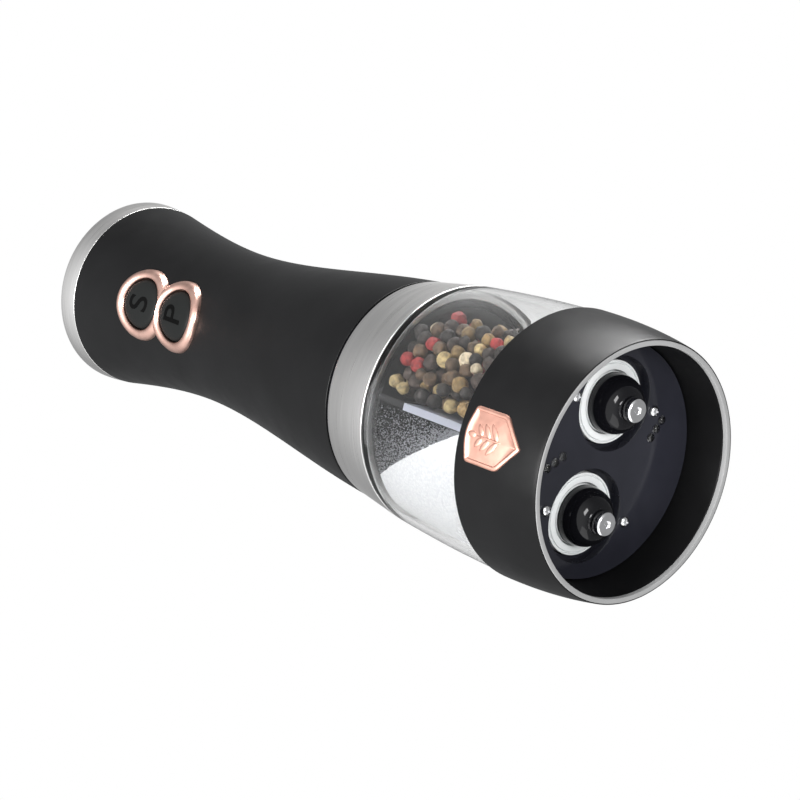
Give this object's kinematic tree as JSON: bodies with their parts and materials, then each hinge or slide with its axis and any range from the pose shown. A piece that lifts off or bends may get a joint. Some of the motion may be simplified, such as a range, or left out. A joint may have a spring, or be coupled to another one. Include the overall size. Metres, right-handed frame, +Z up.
{
  "type": "electric salt and pepper mill",
  "caption": "Waisted handheld electric mill for salt and pepper, with a clear divided container, paired ceramic grinders in an open base, twin round keys and a lift-off handle.",
  "frame": {"origin": "centre of the open rim on which the mill stands", "axes": "+Z up the mill's axis towards the end cap, -Y to the front with the badge and keys, +X to the pepper side"},
  "size_m": [0.0696, 0.0702, 0.2177],
  "materials": {
    "soft_black": "soft-touch satin black",
    "gloss_black": "glossy black",
    "satin_silver": "satin silver",
    "rim_grey": "satin grey",
    "rose_gold": "polished rose gold plating",
    "clear_acrylic": "clear",
    "ceramic": "white ceramic",
    "chrome": "polished",
    "steel": "plain steel",
    "nylon": "moulded nylon",
    "silicone": "matt silicone",
    "board_green": "lacquered board",
    "cell_wrap": "plain cell wrap",
    "salt_grains": "loose white crystals",
    "peppercorns": "loose mixed peppercorns"
  },
  "bodies": {
    "base": {"base_collar": "soft_black", "rim_ring": "rim_grey", "badge": "rose_gold", "grinder_plate": "gloss_black", "hopper_floor": "gloss_black", "container_seal": "silicone", "plate_screw_1": "chrome", "plate_screw_2": "chrome", "plate_screw_3": "chrome", "plate_screw_4": "chrome", "light_lens_front": "clear_acrylic", "light_lens_rear": "clear_acrylic", "salt_stator": "ceramic", "pepper_stator": "ceramic", "container": "clear_acrylic", "divider_insert": "gloss_black", "salt_fill": "salt_grains", "pepper_fill": "peppercorns", "metal_band": "satin_silver"},
    "handle": {"handle_shell": "soft_black", "button_bezel": "rose_gold", "gearbox_case": "gloss_black", "motor_plate": "nylon", "chassis_plate": "nylon", "salt_motor": "steel", "pepper_motor": "steel", "lower_contact": "steel", "battery_holder": "nylon", "battery_1": "cell_wrap", "battery_2": "cell_wrap", "battery_3": "cell_wrap", "battery_4": "cell_wrap", "switch_board": "board_green", "salt_switch": "steel", "pepper_switch": "steel"},
    "cap": {"top_cap": "satin_silver", "upper_contact": "steel"},
    "salt_spindle": {"salt_shaft": "steel", "salt_rotor": "ceramic"},
    "salt_adjuster": {"salt_adjuster_dome": "gloss_black", "salt_adjuster_nut": "chrome"},
    "salt_gear": {"salt_gear": "nylon"},
    "salt_pinion": {"salt_pinion": "steel"},
    "salt_key": {"salt_key": "soft_black"},
    "pepper_spindle": {"pepper_shaft": "steel", "pepper_rotor": "ceramic"},
    "pepper_adjuster": {"pepper_adjuster_dome": "gloss_black", "pepper_adjuster_nut": "chrome"},
    "pepper_gear": {"pepper_gear": "nylon"},
    "pepper_pinion": {"pepper_pinion": "steel"},
    "pepper_key": {"pepper_key": "soft_black"}
  },
  "joints": [
    {"name": "handle_lift", "type": "slide", "parent": "base", "child": "handle", "axis": [0, 0, 1], "range_m": [0, 0.04]},
    {"name": "cap_lift", "type": "slide", "parent": "handle", "child": "cap", "axis": [0, 0, 1], "range_m": [0, 0.03]},
    {"name": "salt_grind", "type": "hinge", "parent": "base", "child": "salt_spindle", "pos_m": [-0.0141, 0, 0.014], "axis": [0, 0, 1], "continuous": true},
    {"name": "salt_adjust", "type": "hinge", "parent": "salt_spindle", "child": "salt_adjuster", "pos_m": [-0.0141, 0, 0.007], "axis": [0, 0, 1], "range_deg": [0, 540]},
    {"name": "salt_gear_turn", "type": "hinge", "parent": "handle", "child": "salt_gear", "pos_m": [-0.0141, 0, 0.07], "axis": [0, 0, 1], "continuous": true},
    {"name": "salt_pinion_turn", "type": "hinge", "parent": "handle", "child": "salt_pinion", "pos_m": [-0.00825, -0.01013, 0.07], "axis": [0, 0, 1], "continuous": true},
    {"name": "salt_key_press", "type": "slide", "parent": "handle", "child": "salt_key", "axis": [0, 1, 0], "range_m": [0, 0.001], "stiffness_N_per_m": 800},
    {"name": "pepper_grind", "type": "hinge", "parent": "base", "child": "pepper_spindle", "pos_m": [0.0141, 0, 0.014], "axis": [0, 0, 1], "continuous": true},
    {"name": "pepper_adjust", "type": "hinge", "parent": "pepper_spindle", "child": "pepper_adjuster", "pos_m": [0.0141, 0, 0.007], "axis": [0, 0, 1], "range_deg": [0, 540]},
    {"name": "pepper_gear_turn", "type": "hinge", "parent": "handle", "child": "pepper_gear", "pos_m": [0.0141, 0, 0.07], "axis": [0, 0, 1], "continuous": true},
    {"name": "pepper_pinion_turn", "type": "hinge", "parent": "handle", "child": "pepper_pinion", "pos_m": [0.00825, 0.01013, 0.07], "axis": [0, 0, 1], "continuous": true},
    {"name": "pepper_key_press", "type": "slide", "parent": "handle", "child": "pepper_key", "axis": [0, 1, 0], "range_m": [0, 0.001], "stiffness_N_per_m": 800}
  ],
  "couplings": [
    {"joint": "salt_gear_turn", "follows": "salt_grind", "ratio": 1},
    {"joint": "salt_pinion_turn", "follows": "salt_grind", "ratio": -3.3333},
    {"joint": "pepper_gear_turn", "follows": "pepper_grind", "ratio": 1},
    {"joint": "pepper_pinion_turn", "follows": "pepper_grind", "ratio": -3.3333}
  ]
}
